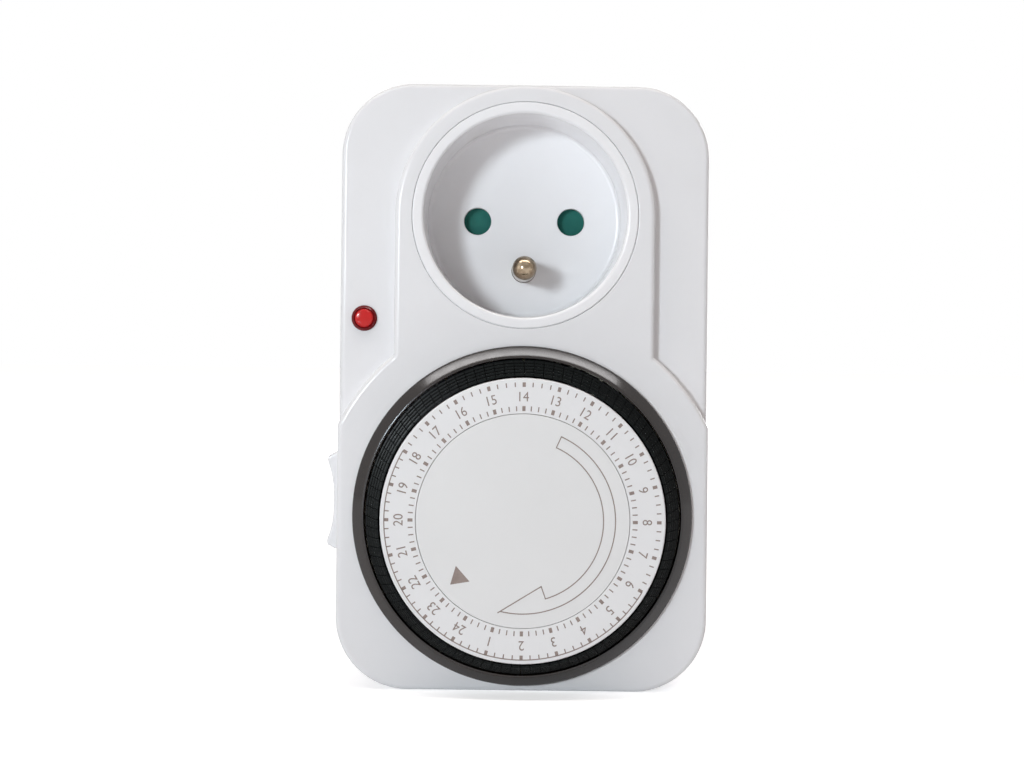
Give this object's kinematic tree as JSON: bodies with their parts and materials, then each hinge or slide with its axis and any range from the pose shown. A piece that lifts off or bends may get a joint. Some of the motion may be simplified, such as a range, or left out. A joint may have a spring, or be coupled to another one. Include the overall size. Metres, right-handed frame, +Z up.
{
  "type": "plug-in segment timer",
  "caption": "Plug-in mechanical daily timer with a round earthed socket in front, a round plug behind and a dial ringed with push-down segments.",
  "frame": {"origin": "centre of the plug boss's end face, on the axis that plug and socket share", "axes": "+Y into the wall along the plug's pins, +Z up from the dial to the socket, +X to the right seen from the front"},
  "size_m": [0.0746, 0.0795, 0.1177],
  "materials": {
    "white_plastic": "satin moulded white plastic",
    "dial_white": "fine matt white plastic with printed grey markings",
    "black_plastic": "glossy black moulded segments",
    "smoked_plastic": "smoked glossy plastic",
    "shutter_plastic": "dark green moulded plastic",
    "red_lens": "translucent red lens",
    "lamp_glass": "clear lamp glass",
    "nickel": "nickel-plated brass, turned",
    "brass": "plain brass",
    "steel": "zinc-plated steel",
    "nylon": "natural nylon",
    "switch_plastic": "dark phenolic"
  },
  "bodies": {
    "housing": {"front_housing": "white_plastic", "rear_housing": "white_plastic", "socket_insert": "white_plastic", "earth_pin": "nickel", "earth_strap": "brass", "plug_pin_live": "nickel", "plug_pin_neutral": "nickel", "live_clip": "brass", "neutral_clip": "brass", "live_feed_strip": "brass", "switched_live_strip": "brass", "shutter_spring": "steel", "indicator_lens": "red_lens", "neon_lamp": "lamp_glass", "housing_screw_1": "steel", "housing_screw_2": "steel", "housing_screw_3": "steel", "housing_screw_4": "steel", "dial_spindle": "steel", "spindle_clip": "steel", "pointer_disc": "dial_white", "mechanism_plate": "steel", "motor_housing": "steel", "gear_arbor": "steel", "lever_pin": "steel", "microswitch_body": "switch_plastic"},
    "dial": {"dial_drum": "nylon", "number_ring": "dial_white", "grip_ring": "smoked_plastic"},
    "override": {"override_slider": "white_plastic"},
    "shutter": {"safety_shutter": "shutter_plastic"},
    "tripper_01": {"tripper_01": "black_plastic"},
    "tripper_02": {"tripper_02": "black_plastic"},
    "tripper_03": {"tripper_03": "black_plastic"},
    "tripper_04": {"tripper_04": "black_plastic"},
    "tripper_05": {"tripper_05": "black_plastic"},
    "tripper_06": {"tripper_06": "black_plastic"},
    "tripper_07": {"tripper_07": "black_plastic"},
    "tripper_08": {"tripper_08": "black_plastic"},
    "tripper_09": {"tripper_09": "black_plastic"},
    "tripper_10": {"tripper_10": "black_plastic"},
    "tripper_11": {"tripper_11": "black_plastic"},
    "tripper_12": {"tripper_12": "black_plastic"},
    "tripper_13": {"tripper_13": "black_plastic"},
    "tripper_14": {"tripper_14": "black_plastic"},
    "tripper_15": {"tripper_15": "black_plastic"},
    "tripper_16": {"tripper_16": "black_plastic"},
    "tripper_17": {"tripper_17": "black_plastic"},
    "tripper_18": {"tripper_18": "black_plastic"},
    "tripper_19": {"tripper_19": "black_plastic"},
    "tripper_20": {"tripper_20": "black_plastic"},
    "tripper_21": {"tripper_21": "black_plastic"},
    "tripper_22": {"tripper_22": "black_plastic"},
    "tripper_23": {"tripper_23": "black_plastic"},
    "tripper_24": {"tripper_24": "black_plastic"},
    "reduction": {"reduction_gear": "nylon"},
    "motor_shaft": {"motor_pinion": "brass"},
    "lever": {"trip_lever": "nylon"},
    "switch_button": {"microswitch_button": "switch_plastic"}
  },
  "joints": [
    {"name": "dial_turn", "type": "hinge", "parent": "housing", "child": "dial", "pos_m": [0, -0.0605, -0.058], "axis": [0, 1, 0], "continuous": true},
    {"name": "override_slide", "type": "slide", "parent": "housing", "child": "override", "axis": [0, 0, 1], "range_m": [-0.004, 0]},
    {"name": "shutter_slide", "type": "slide", "parent": "housing", "child": "shutter", "axis": [0, 0, 1], "range_m": [0, 0.0062], "stiffness_N_per_m": 60, "springref_m": -0.003, "deforming": ["shutter_spring"]},
    {"name": "push_01", "type": "slide", "parent": "dial", "child": "tripper_01", "axis": [0, 1, 0], "range_m": [0, 0.0025]},
    {"name": "push_02", "type": "slide", "parent": "dial", "child": "tripper_02", "axis": [0, 1, 0], "range_m": [0, 0.0025]},
    {"name": "push_03", "type": "slide", "parent": "dial", "child": "tripper_03", "axis": [0, 1, 0], "range_m": [0, 0.0025]},
    {"name": "push_04", "type": "slide", "parent": "dial", "child": "tripper_04", "axis": [0, 1, 0], "range_m": [0, 0.0025]},
    {"name": "push_05", "type": "slide", "parent": "dial", "child": "tripper_05", "axis": [0, 1, 0], "range_m": [0, 0.0025]},
    {"name": "push_06", "type": "slide", "parent": "dial", "child": "tripper_06", "axis": [0, 1, 0], "range_m": [0, 0.0025]},
    {"name": "push_07", "type": "slide", "parent": "dial", "child": "tripper_07", "axis": [0, 1, 0], "range_m": [0, 0.0025]},
    {"name": "push_08", "type": "slide", "parent": "dial", "child": "tripper_08", "axis": [0, 1, 0], "range_m": [0, 0.0025]},
    {"name": "push_09", "type": "slide", "parent": "dial", "child": "tripper_09", "axis": [0, 1, 0], "range_m": [0, 0.0025]},
    {"name": "push_10", "type": "slide", "parent": "dial", "child": "tripper_10", "axis": [0, 1, 0], "range_m": [0, 0.0025]},
    {"name": "push_11", "type": "slide", "parent": "dial", "child": "tripper_11", "axis": [0, 1, 0], "range_m": [0, 0.0025]},
    {"name": "push_12", "type": "slide", "parent": "dial", "child": "tripper_12", "axis": [0, 1, 0], "range_m": [0, 0.0025]},
    {"name": "push_13", "type": "slide", "parent": "dial", "child": "tripper_13", "axis": [0, 1, 0], "range_m": [0, 0.0025]},
    {"name": "push_14", "type": "slide", "parent": "dial", "child": "tripper_14", "axis": [0, 1, 0], "range_m": [0, 0.0025]},
    {"name": "push_15", "type": "slide", "parent": "dial", "child": "tripper_15", "axis": [0, 1, 0], "range_m": [0, 0.0025]},
    {"name": "push_16", "type": "slide", "parent": "dial", "child": "tripper_16", "axis": [0, 1, 0], "range_m": [0, 0.0025]},
    {"name": "push_17", "type": "slide", "parent": "dial", "child": "tripper_17", "axis": [0, 1, 0], "range_m": [0, 0.0025]},
    {"name": "push_18", "type": "slide", "parent": "dial", "child": "tripper_18", "axis": [0, 1, 0], "range_m": [0, 0.0025]},
    {"name": "push_19", "type": "slide", "parent": "dial", "child": "tripper_19", "axis": [0, 1, 0], "range_m": [0, 0.0025]},
    {"name": "push_20", "type": "slide", "parent": "dial", "child": "tripper_20", "axis": [0, 1, 0], "range_m": [0, 0.0025]},
    {"name": "push_21", "type": "slide", "parent": "dial", "child": "tripper_21", "axis": [0, 1, 0], "range_m": [0, 0.0025]},
    {"name": "push_22", "type": "slide", "parent": "dial", "child": "tripper_22", "axis": [0, 1, 0], "range_m": [0, 0.0025]},
    {"name": "push_23", "type": "slide", "parent": "dial", "child": "tripper_23", "axis": [0, 1, 0], "range_m": [0, 0.0025]},
    {"name": "push_24", "type": "slide", "parent": "dial", "child": "tripper_24", "axis": [0, 1, 0], "range_m": [0, 0.0025]},
    {"name": "reduction_turn", "type": "hinge", "parent": "housing", "child": "reduction", "pos_m": [0.0174, -0.04, -0.0754], "axis": [0, 1, 0], "continuous": true},
    {"name": "motor_turn", "type": "hinge", "parent": "housing", "child": "motor_shaft", "pos_m": [0.00848, -0.038, -0.06649], "axis": [0, 1, 0], "continuous": true},
    {"name": "lever_swing", "type": "hinge", "parent": "housing", "child": "lever", "pos_m": [-0.01367, -0.0403, -0.08511], "axis": [-0.7431, 0, -0.6691], "range_deg": [0, 13.1]},
    {"name": "button_press", "type": "slide", "parent": "housing", "child": "switch_button", "axis": [0, 1, 0], "range_m": [0, 0.0013]}
  ],
  "couplings": [
    {"joint": "reduction_turn", "follows": "dial_turn", "ratio": -7.2},
    {"joint": "motor_turn", "follows": "dial_turn", "ratio": 23.04},
    {"joint": "lever_swing", "follows": "push_16", "rad_per_m": 90.909},
    {"joint": "button_press", "follows": "push_16", "ratio": 0.5}
  ]
}
